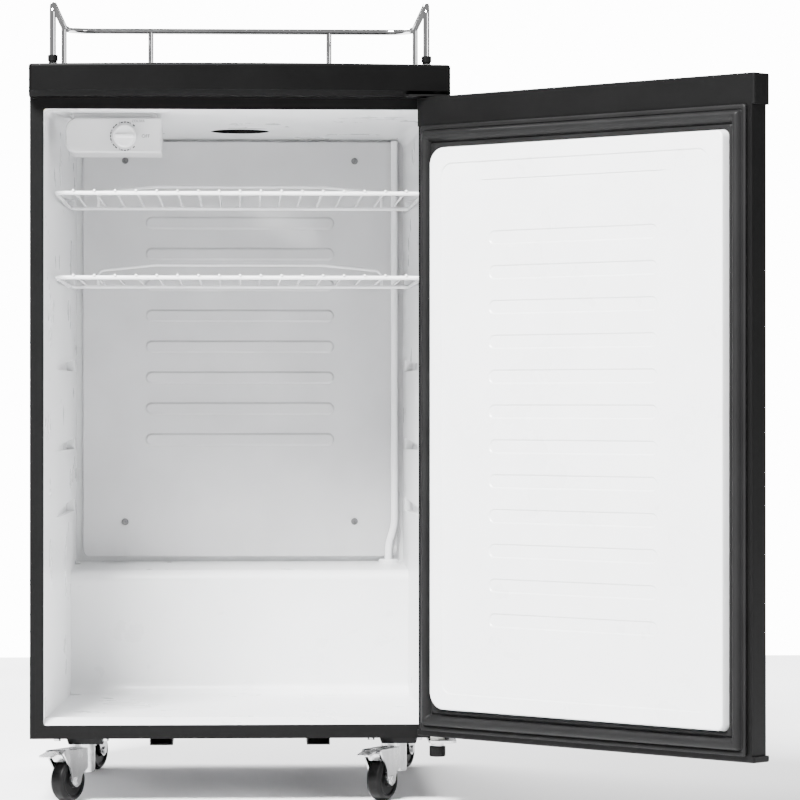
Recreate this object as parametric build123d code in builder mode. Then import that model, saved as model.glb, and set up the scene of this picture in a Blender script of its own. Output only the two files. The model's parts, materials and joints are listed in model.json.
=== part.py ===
from build123d import *
from math import cos, radians, sin
import os

# A kegerator: a refrigerated cabinet on four casters, with a bowed worktop, a chrome guard rail,
# a hinged door that rests open, two wire shelves and the cooling circuit behind.
# Millimetres. +X right, +Y to the back, +Z up, seen from the front. The origin is on the floor,
# below the middle of the cabinet's front plane.

# ---- Driving dimensions ----
CAB_W = 505.0            # cabinet width
CAB_D = 545.0            # front plane to the rear panel's face
CAB_Z0 = 78.4            # underside of the cabinet: the casters' height
CAB_Z1 = 849.3           # top of the cabinet, where the worktop sits
SHEET = 1.0              # steel sheet
LINER = 1.5              # vacuum-formed plastic liner
OPEN_W = 471.4           # front opening
OPEN_Z0 = 94.7
OPEN_Z1 = 835.7
BACK_W = 436.0           # liner at its back wall: the sides draft inwards
BACK_Y = 505.0           # back wall of the liner
FLOOR_Z = 100.4          # keg floor
LIP_Z = 102.4            # sill lip at the front of the floor
HUMP_Y0 = 415.0          # front of the compressor hump at the floor
HUMP_Y1 = 405.0          # and at its top
HUMP_Z1 = 261.5          # front top edge of the hump
HUMP_Z2 = 270.8          # hump against the back wall
HUMP_TOP_Z = HUMP_Z2 + 1.6
BAY_Y = 441.0            # compressor bay: back face of its front wall
BAY_Z = 235.0            # and its ceiling

TOP_Z = 888.2            # worktop surface, 35 in above the floor
TOP_SIDE_Y = -25.0       # worktop's front edge at its ends
TOP_BOW = 20.0           # how far the middle of that edge bows forward
TOP_BEVEL = 6.9          # undercut below the front face
TOP_BACK_Y = 552.0
HOLE_Y = 361.0           # tower hole
HOLE_R = 36.0
SLEEVE_R = 38.0
TOWER_PCD = 90.0         # draft tower flange screws
TOWER_SCREW_R = 2.0

RAIL_R = 4.0             # guard rail tube
RAIL_Z = 982.9
RAIL_X = 234.0
RAIL_FRONT_Y = 188.0
RAIL_BACK_Y = 545.0
RAIL_CORNER = 38.0
RAIL_BEND = 14.0
POST_X = 120.0           # rear posts
POST_Y = 489.0           # side posts

PIN_X = 236.5            # door hinge axis
PIN_Y = -28.0
PIN_R = 4.0
DOOR_OPEN = 134.2        # degrees from closed, at rest
DOOR_Z0 = 83.5
DOOR_Z1 = 848.5
DOOR_IN_Y = -12.0        # inner face of the door, closed
DOOR_SIDE_Y = -37.0      # outer face at the door's edges
DOOR_BOW = 20.0
CAP_TOP_Z = 813.7        # underside of the top cap
CAP_LOW_Z = 90.5         # top of the bottom cap
CAP_OUT = 3.0            # how far the caps stand past the steel
PAN_W = 446.0            # raised white pan of the door liner, at its base
PAN_Z0 = 116.9
PAN_Z1 = 786.9
PAN_Y = 2.5              # top of the pan, closed: just inside the cabinet's opening
PAN_TAPER = 6.0          # degrees
GASKET_X = 246.0
GASKET_CROWN_Y = -0.6

SHELF_Z = (737.4, 634.7)
SHELF_X = 222.5          # centre of the side wires
SHELF_Y0 = 50.0
SHELF_Y1 = 415.0
SHELF_FRAME_R = 2.5
SHELF_WIRE_R = 1.4
SHELF_WIRES = 17
SHELF_PITCH = 25.3

WHEEL_R = 25.4
WHEEL_W = 19.0
TRAIL = 31.0
HUB_R = 15.5
FORK_GAP = 23.0          # between the fork's legs
FORK_T = 2.0
FORK_Z = 63.4            # top of the fork's legs
AXLE_R = 3.0
RUN_GAP = 0.05           # radial clearance of every running fit
# name: swivel axis x, y and the direction in which the wheel trails, degrees from +X
CASTERS = {
    "front_left": (-191.8, 60.0, 238.0),
    "front_right": (188.0, 60.0, 240.0),
    "rear_left": (-203.0, 405.0, 68.0),
    "rear_right": (203.0, 405.0, 68.0),
}
BRAKED = ("front_left", "front_right")

os.makedirs("parts", exist_ok=True)


# ---- Frames: planes of a piece that is drawn square and then turned about a vertical axis ----
def moved(frame, x, y, z):
    """The point x, y, z of a frame (origin x, origin y, degrees) in the cabinet's own frame."""
    ox, oy, turn = frame
    c, s = cos(radians(turn)), sin(radians(turn))
    return (ox + x * c - y * s, oy + x * s + y * c, z)


def level(frame, z):
    """A horizontal plane at height z, local x and y along the frame's own."""
    c, s = cos(radians(frame[2])), sin(radians(frame[2]))
    return Plane(origin=moved(frame, 0, 0, z), x_dir=(c, s, 0), z_dir=(0, 0, 1))


def facing(frame, y):
    """An upright plane seen from the frame's front: local x is x, local y is Z, normal to the front."""
    c, s = cos(radians(frame[2])), sin(radians(frame[2]))
    return Plane(origin=moved(frame, 0, y, 0), x_dir=(c, s, 0), z_dir=(s, -c, 0))


def beside(frame, x):
    """An upright plane seen from the frame's right: local x is y, local y is Z, normal along x."""
    c, s = cos(radians(frame[2])), sin(radians(frame[2]))
    return Plane(origin=moved(frame, x, 0, 0), x_dir=(-s, c, 0), z_dir=(c, s, 0))


def keep(built, name):
    """Label a finished piece and write it."""
    built.part.label = name
    export_step(built.part, f"parts/{name}.step")


HOME = (0.0, 0.0, 0.0)
pin_back = moved((0, 0, DOOR_OPEN), PIN_X, PIN_Y, 0)
DOOR = (PIN_X - pin_back[0], PIN_Y - pin_back[1], DOOR_OPEN)
CAB_MID_Z = (CAB_Z0 + CAB_Z1) / 2
OPEN_MID_Z = (OPEN_Z0 + OPEN_Z1) / 2
OPEN_H = OPEN_Z1 - OPEN_Z0

# ---- Cabinet shell: one folded steel wrapper with the black frame round the opening ----
MITRE_W = 0.5            # the front frame's corners meet in fine mitre lines
MITRE_LONG = 19.0
with BuildPart() as cabinet_shell:
    with BuildSketch(facing(HOME, 0)):
        with Locations((0, CAB_MID_Z)):
            Rectangle(CAB_W, CAB_Z1 - CAB_Z0)
    extrude(amount=-CAB_D)
    fillet(cabinet_shell.edges().filter_by(Axis.Z).group_by(Axis.Y)[0], 1.9)
    with BuildSketch(facing(HOME, SHEET)):
        with Locations((0, CAB_MID_Z - SHEET)):
            Rectangle(CAB_W - 2 * SHEET, CAB_Z1 - CAB_Z0)
    extrude(amount=-CAB_D, mode=Mode.SUBTRACT)
    with BuildSketch(facing(HOME, 0)):
        with Locations((0, OPEN_MID_Z)):
            RectangleRounded(OPEN_W, OPEN_H, 3)
        for side in (-1, 1):
            for z_edge, lean in ((OPEN_Z1 + 6, 1), (OPEN_Z0 - 7, -1)):
                with Locations((side * (OPEN_W / 2 + 7), z_edge)):
                    Rectangle(MITRE_LONG, MITRE_W, rotation=45 * side * lean)
    extrude(amount=-MITRE_W, mode=Mode.SUBTRACT)
    with BuildSketch(facing(HOME, 0)):
        with Locations((0, OPEN_MID_Z)):
            RectangleRounded(OPEN_W, OPEN_H, 3)
    extrude(amount=-SHEET, mode=Mode.SUBTRACT)
    with BuildSketch(Plane.XY.offset(CAB_Z1)):
        with Locations((0, HOLE_Y)):
            Circle(SLEEVE_R)
    extrude(amount=-SHEET, mode=Mode.SUBTRACT)
keep(cabinet_shell, "cabinet_shell")

# ---- Liner: the drafted white cavity with its floor, hump and shelf grooves ----
GROOVE_DROP = 2.8        # groove floor below the shelf's plane
GROOVES = [(z - GROOVE_DROP, 16.0) for z in SHELF_Z] + [(524.0, 15.0), (421.0, 15.0), (339.0, 18.0)]
GROOVE_X = 229.5
GROOVE_Y0 = 180.0
GROOVE_Y1 = 468.0
CEILING_DROP = 1.2       # the ceiling falls a little towards the back


def liner_form(grow):
    """The liner's inner form, grown outwards: loft of the walls plus grooves, less floor and hump."""
    with BuildPart() as form:
        for y, width, z1, radius in (
            (SHEET, OPEN_W - 0.1, OPEN_Z1 - 0.1, 8),
            (BACK_Y + grow, BACK_W, OPEN_Z1 - CEILING_DROP, 14),
        ):
            z0 = OPEN_Z0 - 10
            with BuildSketch(facing(HOME, y)):
                with Locations((0, (z0 + z1) / 2)):
                    RectangleRounded(width + 2 * grow, z1 - z0 + 2 * grow, radius + grow)
        loft(ruled=True)
        for z, height in GROOVES:
            with BuildSketch(beside(HOME, -GROOVE_X - grow)):
                with BuildLine():
                    Polyline(
                        (GROOVE_Y0, z - grow),
                        (GROOVE_Y1 + grow, z - grow),
                        (GROOVE_Y1 + grow, z + height + grow),
                        (GROOVE_Y0, z + height * 0.4 + grow),
                        close=True,
                    )
                make_face()
            extrude(amount=2 * (GROOVE_X + grow))
        with BuildSketch(beside(HOME, -CAB_W / 2)):
            with BuildLine():
                FilletPolyline(
                    (SHEET - 0.1, OPEN_Z0 - 30),
                    (SHEET - 0.1, OPEN_Z0),
                    (24, LIP_Z),
                    (29, LIP_Z),
                    (33, FLOOR_Z),
                    (HUMP_Y0, FLOOR_Z),
                    (HUMP_Y1, HUMP_Z1),
                    (BACK_Y + 20, HUMP_TOP_Z),
                    (BACK_Y + 20, OPEN_Z0 - 30),
                    radius=[0, 0, 0, 0, 0, 15, 14, 0, 0],
                    close=True,
                )
            make_face()
            if grow:
                offset(amount=-grow, mode=Mode.REPLACE)
        extrude(amount=CAB_W, mode=Mode.SUBTRACT)
    return form


cavity = liner_form(0)
cavity_outer = liner_form(LINER)

EVAP_Y = 496.5           # back of the evaporator plate
EVAP_T = 1.8
EVAP_W = 418.3
EVAP_X = 0.65
EVAP_Z0 = 277.4
EVAP_Z1 = 830.5
EVAP_SCREWS = [(x, z) for x in (-153.0, 153.0) for z in (323.7, 805.4)]
SCREW_R = 2.0
with BuildPart() as inner_liner:
    add(cavity_outer.part)
    add(cavity.part, mode=Mode.SUBTRACT)
    with BuildSketch(facing(HOME, BACK_Y)):
        with Locations(*EVAP_SCREWS):
            Circle(7)
            Circle(SCREW_R + 0.1, mode=Mode.SUBTRACT)
    extrude(amount=BACK_Y - EVAP_Y)
    with BuildSketch(Plane.XY.offset(OPEN_Z1 - 10)):
        with Locations((0, HOLE_Y)):
            Circle(SLEEVE_R)
    extrude(amount=20, mode=Mode.SUBTRACT)
keep(inner_liner, "inner_liner")

# ---- Foam between shell and liner: five blocks that meet face to face ----
FOAM_X = CAB_W / 2 - SHEET
FOAM_BACK = CAB_D - SHEET
FOAM_LOW = CAB_Z0 + SHEET
FOAM_HIGH = CAB_Z1 - SHEET
FOAM_ROOF_Z = OPEN_Z1 - 0.2           # underside of the roof block
FOAM_SIDE_X = BACK_W / 2              # inner face of the side blocks
FOAM_STEP_Y = HUMP_Y1 - 5             # where the floor block meets the hump
FOAM_STEP_Z = BAY_Z + SHEET
FOAM_BLOCKS = {
    "insulation_roof": [
        ((-FOAM_X, SHEET, FOAM_ROOF_Z), (FOAM_X, FOAM_BACK, FOAM_HIGH)),
    ],
    "insulation_left": [
        ((-FOAM_X, SHEET, FOAM_STEP_Z), (-FOAM_SIDE_X, FOAM_BACK, FOAM_ROOF_Z)),
        ((-FOAM_X, SHEET, FOAM_LOW), (-FOAM_SIDE_X, BAY_Y - SHEET, FOAM_STEP_Z)),
    ],
    "insulation_right": [
        ((FOAM_SIDE_X, SHEET, FOAM_STEP_Z), (FOAM_X, FOAM_BACK, FOAM_ROOF_Z)),
        ((FOAM_SIDE_X, SHEET, FOAM_LOW), (FOAM_X, BAY_Y - SHEET, FOAM_STEP_Z)),
    ],
    "insulation_back": [
        ((-FOAM_SIDE_X, BACK_Y + LINER, HUMP_TOP_Z), (FOAM_SIDE_X, FOAM_BACK, FOAM_ROOF_Z)),
    ],
    "insulation_base": [
        ((-FOAM_SIDE_X, SHEET, FOAM_LOW), (FOAM_SIDE_X, FOAM_STEP_Y, LIP_Z)),
        ((-FOAM_SIDE_X, FOAM_STEP_Y, FOAM_LOW), (FOAM_SIDE_X, BAY_Y - SHEET, FOAM_STEP_Z)),
        ((-FOAM_SIDE_X, FOAM_STEP_Y, FOAM_STEP_Z), (FOAM_SIDE_X, FOAM_BACK, HUMP_TOP_Z)),
    ],
}


def foam_block(low, high):
    """One block of foam between two corners, less the liner's outer form and the tower hole."""
    with BuildPart() as block:
        with BuildSketch(Plane.XY.offset(low[2])):
            with Locations(((low[0] + high[0]) / 2, (low[1] + high[1]) / 2)):
                Rectangle(high[0] - low[0], high[1] - low[1])
        extrude(amount=high[2] - low[2])
        add(cavity_outer.part, mode=Mode.SUBTRACT)
        if high[2] == FOAM_HIGH:
            with BuildSketch(Plane.XY.offset(high[2])):
                with Locations((0, HOLE_Y)):
                    Circle(SLEEVE_R)
            extrude(amount=low[2] - high[2], mode=Mode.SUBTRACT)
    return block.part


for foam_name, corners in FOAM_BLOCKS.items():
    with BuildPart() as foam:
        for low, high in corners:
            solids = foam_block(low, high).solids()
            add(max(solids, key=lambda solid: solid.volume))
    keep(foam, foam_name)

# ---- Bottom pan: floor, front wall and ceiling of the compressor bay, with its two cheeks ----
with BuildPart() as bottom_pan:
    with BuildSketch(beside(HOME, -CAB_W / 2 + SHEET)):
        with BuildLine():
            Polyline(
                (SHEET, CAB_Z0),
                (BAY_Y, CAB_Z0),
                (BAY_Y, BAY_Z),
                (CAB_D - SHEET, BAY_Z),
                (CAB_D - SHEET, BAY_Z + SHEET),
                (BAY_Y - SHEET, BAY_Z + SHEET),
                (BAY_Y - SHEET, CAB_Z0 + SHEET),
                (SHEET, CAB_Z0 + SHEET),
                close=True,
            )
        make_face()
    extrude(amount=CAB_W - 2 * SHEET)
    with BuildSketch(facing(HOME, BAY_Y)):
        for side in (-1, 1):
            with Locations((side * (CAB_W / 2 - 1.5 * SHEET), (CAB_Z0 + BAY_Z) / 2)):
                Rectangle(SHEET, BAY_Z - CAB_Z0)
    extrude(amount=-(CAB_D - SHEET - BAY_Y))
keep(bottom_pan, "bottom_pan")

# ---- Rear panel, stiffened by pressed beads ----
with BuildPart() as rear_panel:
    with BuildSketch(facing(HOME, CAB_D)):
        with Locations((0, (BAY_Z + CAB_Z1) / 2)):
            Rectangle(CAB_W - 2 * SHEET, CAB_Z1 - BAY_Z - 2 * SHEET)
    extrude(amount=SHEET)
    with BuildSketch(facing(HOME, CAB_D)):
        with Locations(*[(0, z) for z in (440, 640, 835)]):
            SlotOverall(440, 9)
    extrude(amount=-1.2)
keep(rear_panel, "rear_panel")

# ---- Evaporator plate: eight pressed channels, four screws into the liner's stand-offs ----
RIBS = 8
RIB_Z0 = 433.4
RIB_PITCH = 41.25
with BuildPart() as evaporator_plate:
    with BuildSketch(facing(HOME, EVAP_Y)):
        with Locations((EVAP_X, (EVAP_Z0 + EVAP_Z1) / 2)):
            RectangleRounded(EVAP_W, EVAP_Z1 - EVAP_Z0, 12)
        with Locations(*EVAP_SCREWS):
            Circle(SCREW_R + 0.2, mode=Mode.SUBTRACT)
    extrude(amount=EVAP_T)
    with BuildSketch(facing(HOME, EVAP_Y - EVAP_T)):
        with Locations(*[(0, RIB_Z0 + i * RIB_PITCH) for i in range(RIBS)]):
            SlotOverall(252, 17)
    extrude(amount=2.6, taper=45)
keep(evaporator_plate, "evaporator_plate")

with BuildPart() as evaporator_screws:
    with BuildSketch(facing(HOME, BACK_Y)):
        with Locations(*EVAP_SCREWS):
            Circle(SCREW_R)
    extrude(amount=BACK_Y - EVAP_Y + EVAP_T)
    with BuildSketch(facing(HOME, EVAP_Y - EVAP_T)):
        with Locations(*EVAP_SCREWS):
            Circle(4.4)
    extrude(amount=2.2)
    chamfer(evaporator_screws.faces().sort_by(Axis.Y)[:4].edges(), 0.9)
    with BuildSketch(facing(HOME, EVAP_Y - EVAP_T - 2.2)):
        with Locations(*EVAP_SCREWS):
            Rectangle(4.4, 0.9)
            Rectangle(0.9, 4.4)
    extrude(amount=-1.2, mode=Mode.SUBTRACT)
keep(evaporator_screws, "evaporator_screws")

# ---- Suction line in its white sleeve, down the right of the plate into the hump ----
LINE_Y = 489.4
LINE_R = 4.6
LINE_X = 206.0                # beside the plate
LINE_TOP_Z = 832.0
LINE_LOW_X = 198.0            # where it enters the hump
with BuildPart() as suction_line:
    with BuildLine() as suction_route:
        FilletPolyline(
            (LINE_X, LINE_Y, LINE_TOP_Z),
            (LINE_X, LINE_Y, 320),
            (LINE_LOW_X, LINE_Y, 292),
            (LINE_LOW_X, LINE_Y, HUMP_Z2 - 0.6),
            radius=[60, 60],
        )
    with BuildSketch(Plane.XY.offset(LINE_TOP_Z)):
        with Locations((LINE_X, LINE_Y)):
            Circle(LINE_R)
    sweep(path=suction_route.line)
keep(suction_line, "suction_line")

GROMMET_Z = HUMP_Z1
GROMMET_H = 12.0
with BuildPart() as suction_grommet:
    with BuildSketch(Plane.XY.offset(GROMMET_Z)):
        with Locations((LINE_LOW_X, LINE_Y)):
            Circle(13)
    extrude(amount=GROMMET_H)
    fillet(suction_grommet.faces().sort_by(Axis.Z)[-1].edges(), 2.5)
    with BuildSketch(Plane.XY.offset(GROMMET_Z)):
        with Locations((LINE_LOW_X, LINE_Y)):
            Circle(LINE_R + 0.02)
    extrude(amount=GROMMET_H, mode=Mode.SUBTRACT)
    add(cavity.part, mode=Mode.INTERSECT)
keep(suction_grommet, "suction_grommet")

# ---- Thermostat: housing under the ceiling, body inside it, knob in front ----
BOX_X0, BOX_X1 = -212.0, -95.6
BOX_Z0, BOX_Z1 = 786.4, 828.8
BOX_Y0, BOX_Y1 = 50.0, 140.0
KNOB_X, KNOB_Z = -140.0, 806.5
KNOB_R = 14.0
BUSH_R = 4.8
SHAFT_R = 3.0
with BuildPart() as control_housing:
    with BuildSketch(facing(HOME, BOX_Y0)):
        with BuildLine():
            FilletPolyline(
                (BOX_X0, BOX_Z0), (BOX_X0, BOX_Z1), (BOX_X1, BOX_Z1), (BOX_X1, BOX_Z0),
                radius=[12, 15, 2, 2], close=True,
            )
        make_face()
    extrude(amount=-(BOX_Y1 - BOX_Y0))
    chamfer(control_housing.faces().sort_by(Axis.Y)[0].edges(), 1.8)
    with BuildSketch(facing(HOME, BOX_Y0 + 2.5)):
        with BuildLine():
            FilletPolyline(
                (BOX_X0 + 2, BOX_Z0 + 2),
                (BOX_X0 + 2, BOX_Z1 - 2),
                (BOX_X1 - 2, BOX_Z1 - 2),
                (BOX_X1 - 2, BOX_Z0 + 2),
                radius=[10, 13, 1, 1], close=True,
            )
        make_face()
    extrude(amount=-BOX_Y1, mode=Mode.SUBTRACT)
    with BuildSketch(facing(HOME, BOX_Y0)):
        with Locations((KNOB_X, KNOB_Z)):
            Circle(BUSH_R + 0.1)
    extrude(amount=-4, mode=Mode.SUBTRACT)
    with BuildSketch(Plane.XY.offset(BOX_Z1)):
        with Locations(((BOX_X0 + BOX_X1) / 2, (BOX_Y0 + BOX_Y1) / 2 + 4)):
            RectangleRounded(BOX_X1 - BOX_X0 - 12, BOX_Y1 - BOX_Y0 - 14, 5)
    extrude(amount=OPEN_Z1 - 0.5 - BOX_Z1)
keep(control_housing, "control_housing")

with BuildPart() as thermostat_body:
    with BuildSketch(facing(HOME, BOX_Y0 + 2.6)):
        with Locations((KNOB_X, KNOB_Z)):
            RectangleRounded(44, 30, 2)
    extrude(amount=-30)
    with BuildSketch(facing(HOME, BOX_Y0 + 2.6)):
        with Locations((KNOB_X, KNOB_Z)):
            Circle(BUSH_R)
    extrude(amount=4.2)
    with BuildSketch(facing(HOME, BOX_Y0 - 2)):
        with Locations((KNOB_X, KNOB_Z)):
            Circle(SHAFT_R + RUN_GAP)
    extrude(amount=-22, mode=Mode.SUBTRACT)
keep(thermostat_body, "thermostat_body")

with BuildPart() as thermostat_knob:
    with BuildSketch(facing(HOME, BOX_Y0 - 0.5)):
        with Locations((KNOB_X, KNOB_Z)):
            Circle(KNOB_R)
    extrude(amount=3)
    with BuildSketch(facing(HOME, BOX_Y0 - 3.5)):
        with Locations((KNOB_X, KNOB_Z)):
            Circle(KNOB_R - 0.8)
    extrude(amount=6, taper=4)
    fillet(thermostat_knob.faces().sort_by(Axis.Y)[0].edges(), 1.2)
    with BuildSketch(facing(HOME, BOX_Y0 - 9.5)):
        with Locations((KNOB_X, KNOB_Z)):
            SlotOverall(2 * KNOB_R - 4, 5)
    extrude(amount=5, taper=8)
    fillet(thermostat_knob.faces().sort_by(Axis.Y)[0].edges(), 0.8)
    with BuildSketch(facing(HOME, BOX_Y0 - 0.5)):
        with Locations((KNOB_X, KNOB_Z)):
            Circle(BUSH_R + 0.6)
    extrude(amount=2, mode=Mode.SUBTRACT)
    with BuildSketch(facing(HOME, BOX_Y0 - 2.5)):
        with Locations((KNOB_X, KNOB_Z)):
            Circle(SHAFT_R)
    extrude(amount=-20)
keep(thermostat_knob, "thermostat_knob")

# ---- Worktop: a hollow moulding with a bowed front and an undercut bevel ----
HINGE_X0, HINGE_X1 = 199.0, 250.0
HINGE_T = 2.0
HINGE_Y0, HINGE_Y1 = -40.0, 62.0


def worktop_outline(z, inset):
    """The worktop's outline at height z, its bowed front edge moved back by inset."""
    half = CAB_W / 2
    front = TOP_SIDE_Y + inset
    with BuildSketch(Plane.XY.offset(z), mode=Mode.PRIVATE) as outline:
        with BuildLine():
            ThreePointArc((-half, front), (0, front - TOP_BOW), (half, front))
            Polyline((half, front), (half, TOP_BACK_Y), (-half, TOP_BACK_Y), (-half, front))
        make_face()
    return outline.sketch


HOLLOW_W = 480.0         # the hollow under the worktop, with stiffeners and a boss for the tower
HOLLOW_D = 528.0
HOLLOW_MID_Y = 276.0
TOP_WALL = 4.0
STIFFENER_X = 90.0
BOSS_R = 58.0
PILOT_DEEP = 25.0        # tower screw pilot holes
with BuildPart() as worktop:
    extrude(worktop_outline(CAB_Z1 + TOP_BEVEL, 0), amount=TOP_Z - CAB_Z1 - TOP_BEVEL)
    fillet(worktop.edges().filter_by(Axis.Z), 5)
    fillet(worktop.faces().sort_by(Axis.Z)[-1].edges(), 3.2)
    loft(
        [worktop_outline(CAB_Z1, TOP_BEVEL + 1).face(), worktop_outline(CAB_Z1 + TOP_BEVEL, 1).face()],
        ruled=True,
    )
    with BuildSketch(Plane.XY.offset(CAB_Z1)):
        with Locations((0, HOLLOW_MID_Y)):
            Rectangle(HOLLOW_W, HOLLOW_D)
            Rectangle(HOLLOW_W, TOP_WALL, mode=Mode.SUBTRACT)
        with Locations((-STIFFENER_X, HOLLOW_MID_Y), (STIFFENER_X, HOLLOW_MID_Y)):
            Rectangle(TOP_WALL, HOLLOW_D, mode=Mode.SUBTRACT)
        with Locations((0, HOLE_Y)):
            Circle(BOSS_R, mode=Mode.SUBTRACT)
    extrude(amount=TOP_Z - CAB_Z1 - TOP_WALL, mode=Mode.SUBTRACT)
    with BuildSketch(Plane.XY.offset(CAB_Z1)):
        with Locations((0, HOLE_Y)):
            Circle(SLEEVE_R)
    extrude(amount=TOP_Z - CAB_Z1, mode=Mode.SUBTRACT)
    with BuildSketch(Plane.XY.offset(TOP_Z)):
        with Locations((0, HOLE_Y)):
            with PolarLocations(TOWER_PCD / 2, 4, start_angle=45):
                Circle(TOWER_SCREW_R)
    extrude(amount=-PILOT_DEEP, mode=Mode.SUBTRACT)
    with BuildSketch(Plane.XY.offset(CAB_Z1)):
        with Locations(((HINGE_X0 + HINGE_X1) / 2, (HINGE_Y0 + HINGE_Y1) / 2)):
            Rectangle(HINGE_X1 - HINGE_X0 + 1, HINGE_Y1 - HINGE_Y0 + 1)
    extrude(amount=HINGE_T + 0.5, mode=Mode.SUBTRACT)
keep(worktop, "worktop")

with BuildPart() as tower_sleeve:
    with BuildSketch(Plane.XY.offset(TOP_Z)):
        with Locations((0, HOLE_Y)):
            Circle(SLEEVE_R)
            Circle(HOLE_R, mode=Mode.SUBTRACT)
    extrude(amount=-(TOP_Z - OPEN_Z1 + CEILING_DROP * 0.6))
keep(tower_sleeve, "tower_sleeve")

# ---- Guard rail: one bent chrome tube on six posts, each in a black ferrule ----
POSTS = [
    (-RAIL_X, RAIL_FRONT_Y), (RAIL_X, RAIL_FRONT_Y), (-RAIL_X, POST_Y), (RAIL_X, POST_Y),
    (-POST_X, RAIL_BACK_Y), (POST_X, RAIL_BACK_Y),
]
FERRULE_Z = 22.0
FERRULE_TOP = 29.4
with BuildPart() as guard_rail:
    with BuildLine() as rail_route:
        FilletPolyline(
            (-RAIL_X, RAIL_FRONT_Y, TOP_Z),
            (-RAIL_X, RAIL_FRONT_Y, RAIL_Z),
            (-RAIL_X, RAIL_BACK_Y, RAIL_Z),
            (RAIL_X, RAIL_BACK_Y, RAIL_Z),
            (RAIL_X, RAIL_FRONT_Y, RAIL_Z),
            (RAIL_X, RAIL_FRONT_Y, TOP_Z),
            radius=[RAIL_BEND, RAIL_CORNER, RAIL_CORNER, RAIL_BEND],
        )
    with BuildSketch(Plane.XY.offset(TOP_Z)):
        with Locations((-RAIL_X, RAIL_FRONT_Y)):
            Circle(RAIL_R)
    sweep(path=rail_route.line)
    with BuildSketch(Plane.XY.offset(TOP_Z)):
        with Locations(*POSTS[2:]):
            Circle(RAIL_R - 0.5)
    extrude(amount=RAIL_Z - TOP_Z)
keep(guard_rail, "guard_rail")

with BuildPart() as rail_ferrules:
    with BuildSketch(Plane.XY.offset(TOP_Z)):
        with Locations(*POSTS):
            Circle(5.2)
    extrude(amount=FERRULE_Z)
    with BuildSketch(Plane.XY.offset(TOP_Z + FERRULE_Z)):
        with Locations(*POSTS):
            Circle(6.3)
    extrude(amount=FERRULE_TOP - FERRULE_Z)
    chamfer(rail_ferrules.faces().group_by(Axis.Z)[-1].edges(), 0.6)
    with BuildSketch(Plane.XY.offset(TOP_Z)):
        with Locations(*POSTS):
            Circle(RAIL_R + 0.02)
    extrude(amount=FERRULE_TOP, mode=Mode.SUBTRACT)
keep(rail_ferrules, "rail_ferrules")

# ---- Compressor bay: compressor on its plate, relay, drier, pipes ----
COMP_X, COMP_Y = -30.0, 500.0
COMP_A, COMP_B = 82.0, 52.0
COMP_Z0, COMP_Z1 = 98.0, 226.0
FOOT_X, FOOT_Y = 75.0, 31.0
PLATE_Z = 80.6
PLATE_T = 2.0
PLATE_LIP_Z = PLATE_Z + 12.0
FOOT_T = 3.0             # the can's foot plate
SEAM_Z = 168.0           # weld seam band round the can
RELAY_Z = 172.5
FEET = [(COMP_X + i * FOOT_X, COMP_Y + j * FOOT_Y) for i in (-1, 1) for j in (-1, 1)]
with BuildPart() as compressor_plate:
    with BuildSketch(beside(HOME, -CAB_W / 2 + 2 * SHEET + 0.2)):
        with BuildLine():
            Polyline(
                (BAY_Y + 1, PLATE_LIP_Z),
                (BAY_Y + 1, PLATE_Z),
                (CAB_D - 1, PLATE_Z),
                (CAB_D - 1, PLATE_LIP_Z),
                (CAB_D - 1 - PLATE_T, PLATE_LIP_Z),
                (CAB_D - 1 - PLATE_T, PLATE_Z + PLATE_T),
                (BAY_Y + 1 + PLATE_T, PLATE_Z + PLATE_T),
                (BAY_Y + 1 + PLATE_T, PLATE_LIP_Z),
                close=True,
            )
        make_face()
    extrude(amount=CAB_W - 4 * SHEET - 0.4)
    with BuildSketch(Plane.XY.offset(PLATE_Z)):
        with Locations(*FEET):
            Circle(3.2)
    extrude(amount=2 * PLATE_T, mode=Mode.SUBTRACT)
keep(compressor_plate, "compressor_plate")

with BuildPart() as compressor:
    with BuildSketch(Plane.XY.offset(COMP_Z0)):
        with Locations((COMP_X, COMP_Y)):
            Ellipse(COMP_A, COMP_B)
    extrude(amount=COMP_Z1 - COMP_Z0)
    fillet(compressor.faces().sort_by(Axis.Z)[-1].edges(), 28)
    fillet(compressor.faces().sort_by(Axis.Z)[0].edges(), 14)
    with BuildSketch(Plane.XY.offset(SEAM_Z)):
        with Locations((COMP_X, COMP_Y)):
            Ellipse(COMP_A + 1.6, COMP_B + 1.6)
    extrude(amount=4)
    with BuildSketch(Plane.XY.offset(COMP_Z0 - FOOT_T)):
        with Locations((COMP_X, COMP_Y)):
            RectangleRounded(2 * FOOT_X + 24, 2 * FOOT_Y + 18, 8)
        with Locations(*FEET):
            Circle(6, mode=Mode.SUBTRACT)
    extrude(amount=FOOT_T)
keep(compressor, "compressor")

with BuildPart() as compressor_grommets:
    for foot in FEET:
        with BuildSketch(Plane.XY.offset(PLATE_Z + PLATE_T)):
            with Locations(foot):
                Circle(9.6)
        extrude(amount=COMP_Z0 - FOOT_T - PLATE_Z - PLATE_T)
        with BuildSketch(Plane.XY.offset(COMP_Z0 - FOOT_T)):
            with Locations(foot):
                Circle(5.9)
        extrude(amount=4.6)
        with BuildSketch(Plane.XY.offset(PLATE_Z)):
            with Locations(foot):
                Circle(3)
        extrude(amount=3)
keep(compressor_grommets, "compressor_grommets")

with BuildPart() as start_relay_box:
    with BuildSketch(Plane.XY.offset(RELAY_Z)):
        with Locations((COMP_X + COMP_A + 19, COMP_Y)):
            RectangleRounded(36, 46, 4)
    extrude(amount=34)
    fillet(start_relay_box.faces().sort_by(Axis.Z)[-1].edges(), 3)
keep(start_relay_box, "start_relay_box")

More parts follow.
